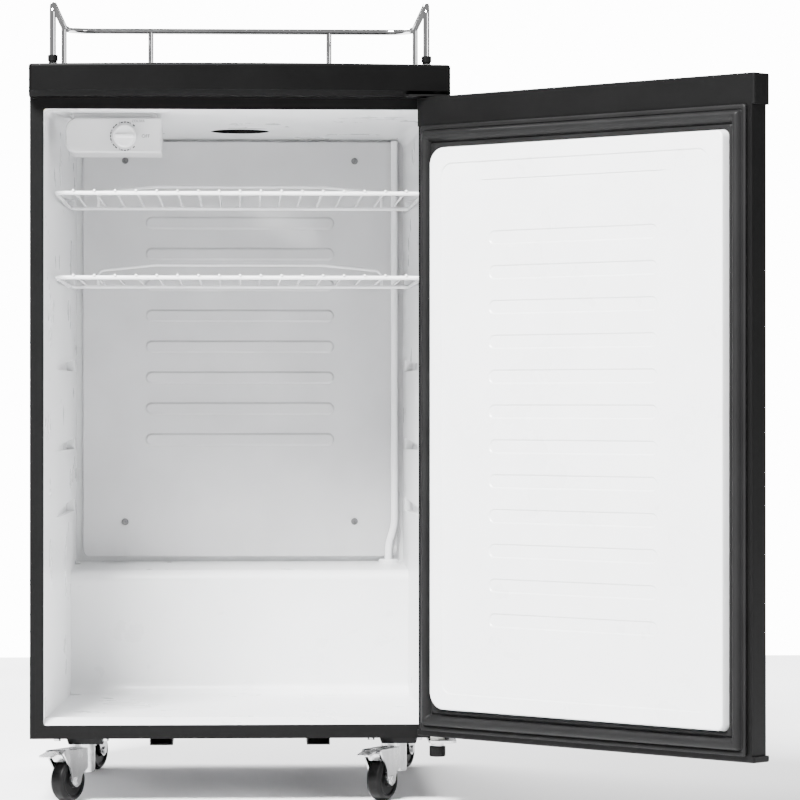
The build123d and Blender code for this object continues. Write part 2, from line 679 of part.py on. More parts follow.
DRIER_X, DRIER_Y = 160.0, 515.0
DRIER_Z0, DRIER_Z1 = 110.0, 212.0
with BuildPart() as filter_drier:
    with BuildSketch(facing(HOME, DRIER_Y)):
        with BuildLine():
            FilletPolyline(
                (DRIER_X, DRIER_Z0), (DRIER_X + 4, DRIER_Z0), (DRIER_X + 9, DRIER_Z0 + 12),
                (DRIER_X + 9, DRIER_Z1 - 12), (DRIER_X + 4, DRIER_Z1), (DRIER_X, DRIER_Z1),
                radius=[0, 0, 3, 3, 0, 0], close=True,
            )
        make_face()
    revolve(axis=Axis((DRIER_X, DRIER_Y, 0), (0, 0, 1)))
keep(filter_drier, "filter_drier")

# ---- Condenser: a serpentine tube with welded wires on clips behind the rear panel ----
COIL_Y = 560.0
COIL_R = 2.5
COIL_X = 205.0
COIL_Z0 = 268.0
COIL_PITCH = 50.0
COIL_PASSES = 11
COIL_Z1 = COIL_Z0 + (COIL_PASSES - 1) * COIL_PITCH
turns = []
for i in range(COIL_PASSES):
    ends = (-COIL_X, COIL_X) if i % 2 == 0 else (COIL_X, -COIL_X)
    turns += [(x, COIL_Y, COIL_Z0 + i * COIL_PITCH) for x in ends]
with BuildPart() as condenser_coil:
    with BuildLine() as coil_route:
        FilletPolyline(*turns, radius=COIL_PITCH / 2 - 0.1)
    with BuildSketch(Plane(origin=turns[0], x_dir=(0, 1, 0), z_dir=(1, 0, 0))):
        Circle(COIL_R)
    sweep(path=coil_route.line)
keep(condenser_coil, "condenser_coil")

WIRES = 26
WIRE_PITCH = 14.8
WIRE_R = 0.8
with BuildPart() as condenser_wires:
    with BuildSketch(Plane.XY.offset(COIL_Z0 - 14)):
        with GridLocations(WIRE_PITCH, 1, WIRES, 1):
            with Locations((0, COIL_Y + COIL_R + WIRE_R + 0.02)):
                Circle(WIRE_R)
    extrude(amount=COIL_Z1 - COIL_Z0 + 28)
keep(condenser_wires, "condenser_wires")

with BuildPart() as condenser_brackets:
    with BuildSketch(facing(HOME, CAB_D)):
        with Locations(*[(x, COIL_Z0 + i * COIL_PITCH) for x in (-140, 140) for i in (1, COIL_PASSES - 2)]):
            RectangleRounded(26, 16, 2)
    extrude(amount=-2)
    with BuildSketch(facing(HOME, CAB_D + 2)):
        with Locations(*[(x, COIL_Z0 + i * COIL_PITCH) for x in (-140, 140) for i in (1, COIL_PASSES - 2)]):
            Rectangle(14, 8)
    extrude(amount=-(COIL_Y - COIL_R - CAB_D - 2))
keep(condenser_brackets, "condenser_brackets")

# each pipe: its route, the radii of its bends and its own radius
PIPES = {
    "discharge": (
        [(COMP_X - COMP_A, COMP_Y, 182), (-222, COMP_Y, 182), (-222, COIL_Y, 182), (-222, COIL_Y, COIL_Z0),
         (-COIL_X, COIL_Y, COIL_Z0)],
        [14, 14, 14], 2.5,
    ),
    "liquid": (
        [(COIL_X, COIL_Y, COIL_Z1), (231, COIL_Y, COIL_Z1), (231, COIL_Y, 224), (231, DRIER_Y, 224),
         (DRIER_X, DRIER_Y, 224), (DRIER_X, DRIER_Y, DRIER_Z1)],
        [14, 14, 14, 9], 2.5,
    ),
    "suction": (
        [(205, 475, BAY_Z), (205, 475, 130), (130, COMP_Y, 130), (COMP_X + COMP_A, COMP_Y, 130)],
        [20, 30], 3.5,
    ),
    "capillary": (
        [(DRIER_X, DRIER_Y, DRIER_Z0), (DRIER_X, DRIER_Y, 96), (222, 480, 96), (222, 480, BAY_Z)],
        [8, 12], 1.3,
    ),
}
with BuildPart() as refrigerant_lines:
    for route, bends, radius in PIPES.values():
        with BuildLine() as pipe_route:
            FilletPolyline(*route, radius=bends)
        start = Vector(*route[0])
        with BuildSketch(Plane(origin=start, z_dir=Vector(*route[1]) - start)):
            Circle(radius)
        sweep(path=pipe_route.line)
keep(refrigerant_lines, "refrigerant_lines")

GLAND_X, GLAND_Z = -60.0, 249.0
with BuildPart() as power_gland:
    with BuildSketch(facing(HOME, CAB_D)):
        with Locations((GLAND_X, GLAND_Z)):
            RegularPolygon(9.5, 6)
    extrude(amount=-4)
    with BuildSketch(facing(HOME, CAB_D + 4)):
        with Locations((GLAND_X, GLAND_Z)):
            Circle(7)
    extrude(amount=-7, taper=8)
    with BuildSketch(facing(HOME, CAB_D)):
        with Locations((GLAND_X, GLAND_Z)):
            Circle(3.6)
    extrude(amount=-12, mode=Mode.SUBTRACT)
keep(power_gland, "power_gland")

# ---- Base: runners, caster mounts with king pins, screws ----
RUNNER_X = 95.0
RUNNER_Z = 68.0
RUNNER_T = 1.5
RUNNER_W = 28.0
RUNNER_FLANGE_W = 48.5
RUNNER_Y0, RUNNER_Y1 = 28.0, 432.0
with BuildPart() as base_runners:
    for side in (-1, 1):
        with BuildSketch(facing(HOME, RUNNER_Y0)):
            with Locations((side * RUNNER_X, CAB_Z0 - RUNNER_T / 2)):
                Rectangle(RUNNER_FLANGE_W, RUNNER_T)
            with Locations((side * RUNNER_X, (RUNNER_Z + CAB_Z0) / 2)):
                Rectangle(RUNNER_W, CAB_Z0 - RUNNER_Z)
            with Locations((side * RUNNER_X, (RUNNER_Z + CAB_Z0) / 2 + RUNNER_T)):
                Rectangle(RUNNER_W - 2 * RUNNER_T, CAB_Z0 - RUNNER_Z, mode=Mode.SUBTRACT)
        extrude(amount=RUNNER_Y0 - RUNNER_Y1)
keep(base_runners, "base_runners")

MOUNT_Z = 68.4
MOUNT_FLANGE = (68.0, 66.0)
KING_R = 5.0
with BuildPart() as caster_mounts:
    for cx, cy, trail in CASTERS.values():
        with BuildSketch(Plane.XY.offset(CAB_Z0)):
            with Locations((cx, cy)):
                RectangleRounded(*MOUNT_FLANGE, 5)
        extrude(amount=-2)
        with BuildSketch(Plane.XY.offset(CAB_Z0 - 2)):
            with Locations((cx + 5, cy)):
                RectangleRounded(47, 50, 4)
        extrude(amount=-(CAB_Z0 - 2 - MOUNT_Z), taper=18)
        with BuildSketch(Plane.XY.offset(CAB_Z0 - 2)):
            with Locations((cx, cy)):
                Circle(KING_R)
        extrude(amount=-30)
keep(caster_mounts, "caster_mounts")

LEG_TOP = 75.4
LEG_FOOT_Z0, LEG_FOOT_Z1 = 58.5, 71.2
LEG_FOOT_R = 9.75
BRACKET_X0, BRACKET_X1 = 226.0, 259.0
LEG_R = 3.0
hinge_screws = [(238.5, y) for y in (8.0, 28.0, 48.0)]
caster_screws = [
    (cx + i * 29, cy + j * 28.5) for cx, cy, trail in CASTERS.values() for i in (-1, 1) for j in (-1, 1)
]
with BuildPart() as base_screws:
    for points, z in ((caster_screws, CAB_Z0 - 2), (hinge_screws, LEG_TOP)):
        with BuildSketch(Plane.XY.offset(z)):
            with Locations(*points):
                RegularPolygon(4.2, 6)
        extrude(amount=-3)
keep(base_screws, "base_screws")

# ---- Hinge hardware and the levelling leg under the door's pin ----
with BuildPart() as lower_hinge_bracket:
    with BuildSketch(Plane.XY.offset(LEG_TOP)):
        with BuildLine():
            FilletPolyline(
                (BRACKET_X0, 58),
                (BRACKET_X0, -44),
                (BRACKET_X1, -44),
                (BRACKET_X1, -8),
                (250.5, 0),
                (250.5, 58),
                radius=[3, 8, 8, 4, 4, 3], close=True,
            )
        make_face()
    extrude(amount=CAB_Z0 - LEG_TOP)
    with BuildSketch(Plane.XY.offset(LEG_TOP)):
        with Locations((PIN_X, PIN_Y)):
            RegularPolygon(7.5, 6)
    extrude(amount=-3.9)
    with BuildSketch(Plane.XY.offset(LEG_TOP - 4)):
        with Locations((PIN_X, PIN_Y)):
            Circle(LEG_R + RUN_GAP)
    extrude(amount=6.4, mode=Mode.SUBTRACT)
keep(lower_hinge_bracket, "lower_hinge_bracket")

with BuildPart() as leveling_leg:
    with BuildSketch(Plane.XY.offset(LEG_FOOT_Z0)):
        with Locations((PIN_X, PIN_Y)):
            Circle(LEG_FOOT_R)
    extrude(amount=LEG_FOOT_Z1 - LEG_FOOT_Z0)
    fillet(leveling_leg.faces().sort_by(Axis.Z)[0].edges(), 2)
    fillet(leveling_leg.faces().sort_by(Axis.Z)[-1].edges(), 1)
    with BuildSketch(Plane.XY.offset(LEG_FOOT_Z1 - 1)):
        with Locations((PIN_X, PIN_Y)):
            Circle(LEG_R)
    extrude(amount=LEG_TOP + 2 - LEG_FOOT_Z1 + 1)
keep(leveling_leg, "leveling_leg")

with BuildPart() as upper_hinge_bracket:
    with BuildSketch(Plane.XY.offset(CAB_Z1)):
        with Locations(((HINGE_X0 + HINGE_X1) / 2, (HINGE_Y0 + HINGE_Y1) / 2)):
            RectangleRounded(HINGE_X1 - HINGE_X0, HINGE_Y1 - HINGE_Y0, 6)
        with Locations((PIN_X, PIN_Y)):
            Circle(PIN_R, mode=Mode.SUBTRACT)
    extrude(amount=HINGE_T)
keep(upper_hinge_bracket, "upper_hinge_bracket")

PIN_LOW_Z1 = 98.0
PIN_HIGH_Z0 = 832.0
with BuildPart() as hinge_pins:
    for z0, z1 in ((CAB_Z0, PIN_LOW_Z1), (PIN_HIGH_Z0, CAB_Z1 + HINGE_T)):
        with BuildSketch(Plane.XY.offset(z0)):
            with Locations((PIN_X, PIN_Y)):
                Circle(PIN_R)
        extrude(amount=z1 - z0)
keep(hinge_pins, "hinge_pins")

# ---- Door: drawn closed in its own frame, which is turned about the hinge pin ----
BUSH_OUT_R = 6.5


def door_outline(z, grow, inner_y):
    """The door's plan at height z, grown by grow at its sides and bowed front."""
    half = CAB_W / 2 + grow
    side_y = DOOR_SIDE_Y - grow
    with BuildSketch(level(DOOR, z), mode=Mode.PRIVATE) as outline:
        with BuildLine():
            ThreePointArc((-half, side_y), (0, side_y - DOOR_BOW), (half, side_y))
            Polyline((half, side_y), (half, inner_y), (-half, inner_y), (-half, side_y))
        make_face()
    return outline.sketch


RETURN_X = 238.5
with BuildPart() as door_panel:
    extrude(door_outline(CAP_LOW_Z, 0, DOOR_IN_Y), amount=CAP_TOP_Z - CAP_LOW_Z)
    extrude(
        door_outline(CAP_LOW_Z, -SHEET, DOOR_IN_Y - SHEET), amount=CAP_TOP_Z - CAP_LOW_Z, mode=Mode.SUBTRACT,
    )
    with BuildSketch(level(DOOR, CAP_LOW_Z)):
        with Locations((0, DOOR_IN_Y)):
            Rectangle(2 * RETURN_X, 4)
    extrude(amount=CAP_TOP_Z - CAP_LOW_Z, mode=Mode.SUBTRACT)
keep(door_panel, "door_panel")


PAN_HINGE_R = 22.0       # corners of the pan: wide beside the hinge, tight on the free side
PAN_FREE_R = 9.0


def pan_outline(y, grow):
    """The pan's outline at depth y of the door, grown by grow."""
    half = PAN_W / 2 + grow
    z0, z1 = PAN_Z0 - grow, PAN_Z1 + grow
    wide, tight = PAN_HINGE_R + grow, PAN_FREE_R + grow
    with BuildSketch(facing(DOOR, y), mode=Mode.PRIVATE) as outline:
        with BuildLine():
            FilletPolyline(
                (half, z0),
                (half, z1),
                (-half, z1),
                (-half, z0),
                radius=[wide, wide, tight, tight],
                close=True,
            )
        make_face()
    return outline.sketch


def pan_form(grow, base_y):
    """The door liner's raised pan, shrunk by -grow, from base_y to its top."""
    with BuildPart() as form:
        extrude(pan_outline(base_y, grow), amount=-(PAN_Y + grow - base_y), taper=PAN_TAPER)
    return form


DOOR_LINER = 4.0         # thickness of the door's liner, 1.2 left under its grooves
DOOR_INWARDS = facing(DOOR, 0).z_dir * -1
pan_core = pan_form(-DOOR_LINER, DOOR_IN_Y - SHEET)
with BuildPart() as door_foam:
    extrude(door_outline(CAP_LOW_Z, -SHEET, DOOR_IN_Y - SHEET), amount=CAP_TOP_Z - CAP_LOW_Z)
    add(pan_core.part)
    for z0, z1 in ((CAP_LOW_Z, PIN_LOW_Z1 + 4), (CAP_TOP_Z - 4, CAP_TOP_Z)):
        with BuildSketch(Plane.XY.offset(z0)):
            with Locations((PIN_X, PIN_Y)):
                Circle(BUSH_OUT_R + 0.5)
        extrude(amount=z1 - z0, mode=Mode.SUBTRACT)
keep(door_foam, "door_foam")

RIM = 18.0               # the pan's raised rim round its sunken centre
RIM_DROP = 1.5
DOOR_RIBS = 12
DOOR_RIB_W = 256.0
DOOR_RIB_H = 17.0
DOOR_RIB_Z0 = 227.4
DOOR_RIB_PITCH = 40.8
DOOR_RIB_DEEP = 1.3
CRESCENT_Z = 745.0       # shallow crescent pressed above the grooves
CRESCENT_W = 282.0
CRESCENT_SAG = 11.0
PAN_MID_Z = (PAN_Z0 + PAN_Z1) / 2
with BuildPart() as door_liner:
    add(pan_form(0, DOOR_IN_Y - SHEET).part)
    fillet(door_liner.faces().sort_by(Axis((0, 0, 0), DOOR_INWARDS))[-1].edges(), 2.2)
    with BuildSketch(facing(DOOR, DOOR_IN_Y - SHEET)):
        with Locations((0, (CAP_LOW_Z + CAP_TOP_Z) / 2)):
            Rectangle(2 * RETURN_X, CAP_TOP_Z - CAP_LOW_Z)
    extrude(amount=-SHEET)
    add(pan_core.part, mode=Mode.SUBTRACT)
    with BuildSketch(facing(DOOR, PAN_Y)):
        with Locations((0, PAN_MID_Z)):
            RectangleRounded(PAN_W - 2 * RIM - 4, PAN_Z1 - PAN_Z0 - 2 * RIM - 4, 16)
    extrude(amount=RIM_DROP, taper=40, mode=Mode.SUBTRACT)
    with BuildSketch(facing(DOOR, PAN_Y - RIM_DROP)):
        with Locations(*[(0, DOOR_RIB_Z0 + i * DOOR_RIB_PITCH) for i in range(DOOR_RIBS)]):
            SlotOverall(DOOR_RIB_W, DOOR_RIB_H)
    extrude(amount=DOOR_RIB_DEEP, taper=52, mode=Mode.SUBTRACT)
    with BuildSketch(facing(DOOR, PAN_Y - RIM_DROP)):
        with BuildLine():
            ThreePointArc(
                (-CRESCENT_W / 2, CRESCENT_Z), (0, CRESCENT_Z - CRESCENT_SAG), (CRESCENT_W / 2, CRESCENT_Z),
            )
            Line((CRESCENT_W / 2, CRESCENT_Z), (-CRESCENT_W / 2, CRESCENT_Z))
        make_face()
    extrude(amount=0.9, mode=Mode.SUBTRACT)
keep(door_liner, "door_liner")

# ---- Gasket: a base strip with a magnetic crown and an inner lip, all round the pan ----
GASKET_Z0 = CAP_LOW_Z + 0.2
GASKET_Z1 = CAP_TOP_Z - 0.2
# each step: its inset from the gasket's outer outline and from the pan, its base and top in Y
GASKET_STEPS = [
    (0.0, 0.0, DOOR_IN_Y, -8.0),
    (2.0, 12.0, -8.0, -4.5),
    (6.0, 7.5, -8.0, GASKET_CROWN_Y),
]
with BuildPart() as door_gasket:
    for outer_inset, inner_inset, y0, y1 in GASKET_STEPS:
        with BuildSketch(facing(DOOR, y0)):
            with Locations((0, (GASKET_Z0 + GASKET_Z1) / 2)):
                RectangleRounded(2 * (GASKET_X - outer_inset), GASKET_Z1 - GASKET_Z0 - 2 * outer_inset, 4)
            if inner_inset:
                with Locations((0, PAN_MID_Z)):
                    RectangleRounded(
                        PAN_W + 2 * inner_inset, PAN_Z1 - PAN_Z0 + 2 * inner_inset, 3, mode=Mode.SUBTRACT,
                    )
        extrude(amount=y0 - y1)
    extrude(pan_outline(DOOR_IN_Y - 1, 0.5), amount=-CAB_D, mode=Mode.SUBTRACT)
keep(door_gasket, "door_gasket")

# ---- Door caps and hinge bushes ----
GRIP_W = 300.0           # finger grip low in the top cap's bowed front
GRIP_H = 14.0
GRIP_FLOOR = 2.0         # the cap's own thickness left below the grip, over the foam
GRIP_DEEP = 16.0
CAP_WALL = 8.0
BUSH_BOSS = 40.0         # the top cap is solid for this far round the pin
with BuildPart() as door_top_cap:
    extrude(door_outline(CAP_TOP_Z, CAP_OUT, DOOR_IN_Y), amount=DOOR_Z1 - CAP_TOP_Z)
    fillet(door_top_cap.edges().filter_by(Axis.Z), 2.5)
    fillet(door_top_cap.faces().sort_by(Axis.Z)[-1].edges(), 1.6)
    with BuildSketch(level(DOOR, CAP_TOP_Z)):
        with Locations((-BUSH_BOSS / 2, (DOOR_IN_Y + DOOR_SIDE_Y) / 2)):
            Rectangle(CAB_W - BUSH_BOSS - 2 * CAP_WALL, DOOR_IN_Y - DOOR_SIDE_Y - CAP_WALL)
    extrude(amount=DOOR_Z1 - CAP_TOP_Z - 5, mode=Mode.SUBTRACT)
    with BuildSketch(facing(DOOR, DOOR_SIDE_Y - DOOR_BOW - CAP_OUT)):
        with Locations((0, CAP_TOP_Z + GRIP_FLOOR + GRIP_H / 2)):
            RectangleRounded(GRIP_W, GRIP_H, 5)
    extrude(amount=-GRIP_DEEP, mode=Mode.SUBTRACT)
    with BuildSketch(level(DOOR, CAP_TOP_Z)):
        with Locations((PIN_X, PIN_Y)):
            Circle(BUSH_OUT_R)
    extrude(amount=DOOR_Z1 - CAP_TOP_Z, mode=Mode.SUBTRACT)
keep(door_top_cap, "door_top_cap")

with BuildPart() as door_bottom_cap:
    extrude(door_outline(DOOR_Z0, CAP_OUT, DOOR_IN_Y), amount=CAP_LOW_Z - DOOR_Z0)
    fillet(door_bottom_cap.edges().filter_by(Axis.Z), 2.5)
    chamfer(door_bottom_cap.faces().sort_by(Axis.Z)[0].edges(), 1.2)
    with BuildSketch(level(DOOR, DOOR_Z0)):
        with Locations((PIN_X, PIN_Y)):
            Circle(BUSH_OUT_R)
    extrude(amount=CAP_LOW_Z - DOOR_Z0, mode=Mode.SUBTRACT)
keep(door_bottom_cap, "door_bottom_cap")

BUSHES = [(CAB_Z0 + 0.4, DOOR_Z0, 8.5), (DOOR_Z0, PIN_LOW_Z1 + 2, BUSH_OUT_R)]
with BuildPart() as hinge_bushings:
    for z0, z1, radius in BUSHES + [(PIN_HIGH_Z0 - 3, DOOR_Z1, BUSH_OUT_R)]:
        with BuildSketch(Plane.XY.offset(z0)):
            with Locations((PIN_X, PIN_Y)):
                Circle(radius)
                Circle(PIN_R + RUN_GAP, mode=Mode.SUBTRACT)
        extrude(amount=z1 - z0)
keep(hinge_bushings, "hinge_bushings")

# ---- Wire shelves: a bent frame, front-to-back wires over it, a raised guard at the back ----
FRAME_BEND = 12.0
WIRE_LIFT = SHELF_FRAME_R + SHELF_WIRE_R - 0.7
GUARD_X = 186.0
GUARD_LOW = 21.0         # the guard rises from here at its ends to its flat middle
GUARD_FLAT_X = 110.0
GUARD_Z = 28.5
GUARD_R = 2.0


def wire_shelf(z):
    """One shelf whose frame lies at height z."""
    with BuildPart() as shelf:
        with BuildLine() as frame_route:
            FilletPolyline(
                (0, SHELF_Y0, z), (SHELF_X, SHELF_Y0, z), (SHELF_X, SHELF_Y1, z),
                (-SHELF_X, SHELF_Y1, z), (-SHELF_X, SHELF_Y0, z), (-0.001, SHELF_Y0, z),
                radius=FRAME_BEND,
            )
        with BuildSketch(Plane(origin=(0, SHELF_Y0, z), x_dir=(0, 1, 0), z_dir=(1, 0, 0))):
            Circle(SHELF_FRAME_R)
        sweep(path=frame_route.line)
        with BuildSketch(facing(HOME, SHELF_Y0 - 4)):
            with Locations((0, z + WIRE_LIFT)):
                with GridLocations(SHELF_PITCH, 1, SHELF_WIRES, 1):
                    Circle(SHELF_WIRE_R)
        extrude(amount=-(SHELF_Y1 - SHELF_Y0 + 6))
        with BuildLine() as guard_route:
            FilletPolyline(
                (-GUARD_X, SHELF_Y1, z),
                (-GUARD_X, SHELF_Y1, z + GUARD_LOW),
                (-GUARD_FLAT_X, SHELF_Y1, z + GUARD_Z),
                (GUARD_FLAT_X, SHELF_Y1, z + GUARD_Z),
                (GUARD_X, SHELF_Y1, z + GUARD_LOW),
                (GUARD_X, SHELF_Y1, z),
                radius=[9, 90, 90, 9],
            )
        with BuildSketch(Plane.XY.offset(z)):
            with Locations((-GUARD_X, SHELF_Y1)):
                Circle(GUARD_R)
        sweep(path=guard_route.line)
    return shelf


for shelf_name, shelf_z in zip(("upper_shelf", "lower_shelf"), SHELF_Z):
    keep(wire_shelf(shelf_z), shelf_name)

# ---- Casters: fork with its hub, axle, wheel, and a brake pedal on the front two ----
HUB_Z0, HUB_Z1 = 34.0, MOUNT_Z - 0.5
LEG = [(3, 63.4), (61, 63.4), (54, 54), (43.5, 40), (40, 23), (31, 16.4), (22, 23), (19, 33), (3, 42)]
LEG_BENDS = [0, 2.5, 4, 10, 6, 7, 6, 8, 0]
WEB_END = 43.0
CLEAR_R = WHEEL_R + 2.4
PIVOT = (50.5, 58.4)
PEDAL_PIN_R = 2.0
PEDAL = [
    (46.6, 59.5), (47.2, 61.8), (54, 62.4), (67, 62.0), (80, 58.6), (79.5, 56.2), (66, 59.2), (56, 58.6),
    (52.5, 54), (47.5, 48.6), (45.6, 50.2),
]
PEDAL_BENDS = [1, 1, 1, 8, 0.8, 0.8, 8, 3, 3, 0.8, 0.8]
PEDAL_W = 17.0
WHEEL_SECTION = [
    (AXLE_R + RUN_GAP, -11.2),
    (7.5, -11.2),
    (8.5, -7.4),
    (18, -7.4),
    (19.5, -9.5),
    (22.6, -9.5),
    (WHEEL_R, -6.0),
]


def outline_across(frame, points, bends, y0, y1):
    """A solid of an outline in the fork's own upright plane, from y0 to y1 across it."""
    with BuildPart() as plate:
        with BuildSketch(facing(frame, y0)):
            with BuildLine():
                FilletPolyline(*points, radius=bends, close=True)
            make_face()
        extrude(amount=y0 - y1)
    return plate.part


for place, caster in CASTERS.items():
    braked = place in BRAKED
    with BuildPart() as fork:
        with BuildSketch(level(caster, HUB_Z0)):
            Circle(HUB_R)
        extrude(amount=HUB_Z1 - HUB_Z0)
        with BuildSketch(level(caster, HUB_Z1 - 4)):
            Circle(HUB_R + 1)
            Circle(HUB_R - 0.7, mode=Mode.SUBTRACT)
        extrude(amount=0.8, mode=Mode.SUBTRACT)
        with BuildSketch(facing(caster, -FORK_GAP / 2)):
            with Locations((TRAIL, WHEEL_R)):
                Circle(CLEAR_R)
        extrude(amount=-FORK_GAP, mode=Mode.SUBTRACT)
        for y0 in (-FORK_GAP / 2 - FORK_T, FORK_GAP / 2):
            add(outline_across(caster, LEG, LEG_BENDS, y0, y0 + FORK_T))
        with BuildSketch(level(caster, FORK_Z)):
            with Locations((WEB_END / 2, 0)):
                Rectangle(WEB_END, FORK_GAP + 2 * FORK_T)
        extrude(amount=-FORK_T)
        with BuildSketch(level(caster, HUB_Z1)):
            Circle(KING_R + RUN_GAP)
        extrude(amount=-(HUB_Z1 - CAB_Z0 + 33), mode=Mode.SUBTRACT)
        holes = [((TRAIL, WHEEL_R), AXLE_R)] + ([(PIVOT, PEDAL_PIN_R + RUN_GAP)] if braked else [])
        for centre, radius in holes:
            with BuildSketch(facing(caster, -FORK_GAP / 2 - FORK_T)):
                with Locations(centre):
                    Circle(radius)
            extrude(amount=-(FORK_GAP + 2 * FORK_T), mode=Mode.SUBTRACT)
    keep(fork, f"caster_fork_{place}")

    with BuildPart() as axle:
        half = FORK_GAP / 2 + FORK_T
        with BuildSketch(facing(caster, -half)):
            with Locations((TRAIL, WHEEL_R)):
                Circle(AXLE_R)
        extrude(amount=-2 * half - 3)
        with BuildSketch(facing(caster, -half)):
            with Locations((TRAIL, WHEEL_R)):
                Circle(5)
        extrude(amount=2.4, taper=20)
        with BuildSketch(facing(caster, half)):
            with Locations((TRAIL, WHEEL_R)):
                RegularPolygon(5.2, 6)
        extrude(amount=-2.6)
    keep(axle, f"caster_axle_{place}")

    with BuildPart() as wheel:
        with BuildSketch(level(caster, WHEEL_R)):
            with BuildLine():
                mirrored = [(r, -y) for r, y in reversed(WHEEL_SECTION)]
                FilletPolyline(
                    *[(TRAIL + r, y) for r, y in WHEEL_SECTION + mirrored],
                    radius=[0, 0.6, 0.6, 0.6, 0.8, 1.5, 4, 4, 1.5, 0.8, 0.6, 0.6, 0.6, 0], close=True,
                )
            make_face()
        hub = moved(caster, TRAIL, 0, WHEEL_R)
        revolve(axis=Axis(hub, facing(caster, 0).z_dir))
    keep(wheel, f"caster_wheel_{place}")

    if braked:
        with BuildPart() as pedal:
            add(outline_across(caster, PEDAL, PEDAL_BENDS, -PEDAL_W / 2, PEDAL_W / 2))
            with BuildSketch(facing(caster, -FORK_GAP / 2 - FORK_T)):
                with Locations(PIVOT):
                    Circle(PEDAL_PIN_R)
            extrude(amount=-(FORK_GAP + 2 * FORK_T))
        keep(pedal, f"brake_pedal_{place}")
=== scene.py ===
import json
from math import atan, cos, pi, radians, sin

import bpy
from mathutils import Matrix, Vector


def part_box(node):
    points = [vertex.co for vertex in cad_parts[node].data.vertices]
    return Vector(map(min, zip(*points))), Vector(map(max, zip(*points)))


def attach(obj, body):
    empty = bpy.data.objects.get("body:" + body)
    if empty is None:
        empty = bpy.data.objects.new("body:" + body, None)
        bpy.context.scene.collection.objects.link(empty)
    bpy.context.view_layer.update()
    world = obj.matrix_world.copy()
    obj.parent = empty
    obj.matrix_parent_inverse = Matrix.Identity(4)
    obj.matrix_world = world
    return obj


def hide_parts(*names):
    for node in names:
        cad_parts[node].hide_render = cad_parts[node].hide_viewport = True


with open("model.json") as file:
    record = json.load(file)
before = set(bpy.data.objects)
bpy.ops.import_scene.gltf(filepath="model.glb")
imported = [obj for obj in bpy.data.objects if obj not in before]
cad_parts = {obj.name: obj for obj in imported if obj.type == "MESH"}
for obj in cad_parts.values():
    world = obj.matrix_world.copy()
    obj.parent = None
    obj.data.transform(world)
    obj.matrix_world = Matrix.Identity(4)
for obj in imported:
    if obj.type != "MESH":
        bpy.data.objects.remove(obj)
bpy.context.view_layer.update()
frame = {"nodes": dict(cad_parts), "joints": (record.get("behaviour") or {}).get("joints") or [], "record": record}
joints = {joint["name"]: joint for joint in frame["joints"]}

# ---- Camera: nearly level, before the cabinet's middle and turned a little towards the open door ----
CAMERA_PLACE = (0.0, -4.512, 0.4834)
FOCAL_IN_WIDTHS = 4.681       # focal length as a multiple of the picture's width
AIM_IN_WIDTHS = 0.2           # how far right of the cabinet's middle the picture's middle lies
PITCH = radians(0.03)         # upwards
SENSOR_MM = 36.0

camera_data = bpy.data.cameras.new("camera")
camera_data.sensor_width = SENSOR_MM
camera_data.lens = SENSOR_MM * FOCAL_IN_WIDTHS
camera = bpy.data.objects.new("camera", camera_data)
camera.location = CAMERA_PLACE
camera.rotation_euler = (pi / 2 + PITCH, 0, -atan(AIM_IN_WIDTHS / FOCAL_IN_WIDTHS))
bpy.context.scene.collection.objects.link(camera)
bpy.context.scene.camera = camera


# ---- Materials: every pattern's scale is in repeats per metre, every bump's height in metres ----
NOISE_RANGE = (0.3, 0.7)      # most of a noise's values lie between these
WAVE_SCALE = 9                # slow waves in moulded and painted surfaces
CRYSTAL_SCALE = 90            # crystals of a zinc coating
ZINC_GRAIN_SCALE = 260
METAL_GRAIN_SCALE = 1400


def new_material(name, **sockets):
    """A node material whose uniform values are set on the shader's own sockets."""
    material = bpy.data.materials.new(name)
    material.use_nodes = True
    shader = material.node_tree.nodes["Principled BSDF"]
    for socket, value in sockets.items():
        shader.inputs[socket.replace("_", " ")].default_value = value
    return material


def add_noise(material, scale, detail=3.0, stretch=(1, 1, 1)):
    """Noise over the object's own coordinates, in metres: its pattern is about 1 / scale across."""
    tree = material.node_tree
    place = tree.nodes.new("ShaderNodeTexCoord")
    mapping = tree.nodes.new("ShaderNodeMapping")
    mapping.inputs["Scale"].default_value = stretch
    noise = tree.nodes.new("ShaderNodeTexNoise")
    noise.inputs["Scale"].default_value = scale
    noise.inputs["Detail"].default_value = detail
    tree.links.new(place.outputs["Object"], mapping.inputs["Vector"])
    tree.links.new(mapping.outputs["Vector"], noise.inputs["Vector"])
    return noise.outputs["Fac"]


def add_cells(material, scale):
    """Flat-coloured cells, each with one random value: the crystals of a zinc coating."""
    tree = material.node_tree
    place = tree.nodes.new("ShaderNodeTexCoord")
    cells = tree.nodes.new("ShaderNodeTexVoronoi")
    cells.inputs["Scale"].default_value = scale
    tree.links.new(place.outputs["Object"], cells.inputs["Vector"])
    return cells.outputs["Color"]


def colour_by(material, source, dark, light, low=0.35, high=0.65):
    """The base colour runs from dark to light with the source."""
    tree = material.node_tree
    ramp = tree.nodes.new("ShaderNodeValToRGB")
    ramp.color_ramp.elements[0].position = low
    ramp.color_ramp.elements[0].color = (*dark, 1)
    ramp.color_ramp.elements[1].position = high
    ramp.color_ramp.elements[1].color = (*light, 1)
    tree.links.new(source, ramp.inputs["Fac"])
    tree.links.new(ramp.outputs["Color"], tree.nodes["Principled BSDF"].inputs["Base Color"])


